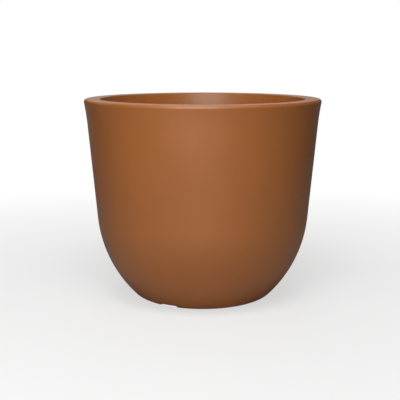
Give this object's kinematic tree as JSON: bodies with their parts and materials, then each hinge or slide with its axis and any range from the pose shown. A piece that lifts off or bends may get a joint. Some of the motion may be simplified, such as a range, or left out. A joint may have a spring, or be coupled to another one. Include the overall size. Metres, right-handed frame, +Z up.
{
  "type": "double-walled planter",
  "caption": "Round satin terracotta-coloured planter with a bowl bottom, wide flat rim, lift-out liner, soil grid and screw drain plug.",
  "frame": {"origin": "centre of the foot's underside, on the ground", "axes": "+Z up along the pot's axis of revolution, -Y towards the front, with the first foot notch 29 degrees to the left of the front"},
  "size_m": [0.4, 0.4, 0.337],
  "materials": {
    "terracotta_plastic": "satin",
    "dark_plastic": "matte",
    "seal_rubber": "matte"
  },
  "bodies": {
    "shell": {"outer_shell": "terracotta_plastic", "drain_bush": "dark_plastic"},
    "liner": {"inner_liner": "terracotta_plastic"},
    "grid": {"soil_grid": "dark_plastic"},
    "seal": {"plug_seal": "seal_rubber"},
    "plug": {"drain_plug": "dark_plastic"}
  },
  "joints": [
    {"name": "liner_lift", "type": "slide", "parent": "shell", "child": "liner", "axis": [0, 0, 1], "range_m": [0, 0.34]},
    {"name": "grid_lift", "type": "slide", "parent": "liner", "child": "grid", "axis": [0, 0, 1], "range_m": [0, 0.3]},
    {"name": "plug_rise", "type": "slide", "parent": "shell", "child": "seal", "axis": [0, 0, 1], "range_m": [0, 0.01]},
    {"name": "plug_turn", "type": "hinge", "parent": "seal", "child": "plug", "pos_m": [0, 0, 0.02], "axis": [0, 0, 1], "range_deg": [0, 720]}
  ],
  "couplings": [
    {"joint": "plug_rise", "follows": "plug_turn", "m_per_rad": 0.00079577}
  ]
}
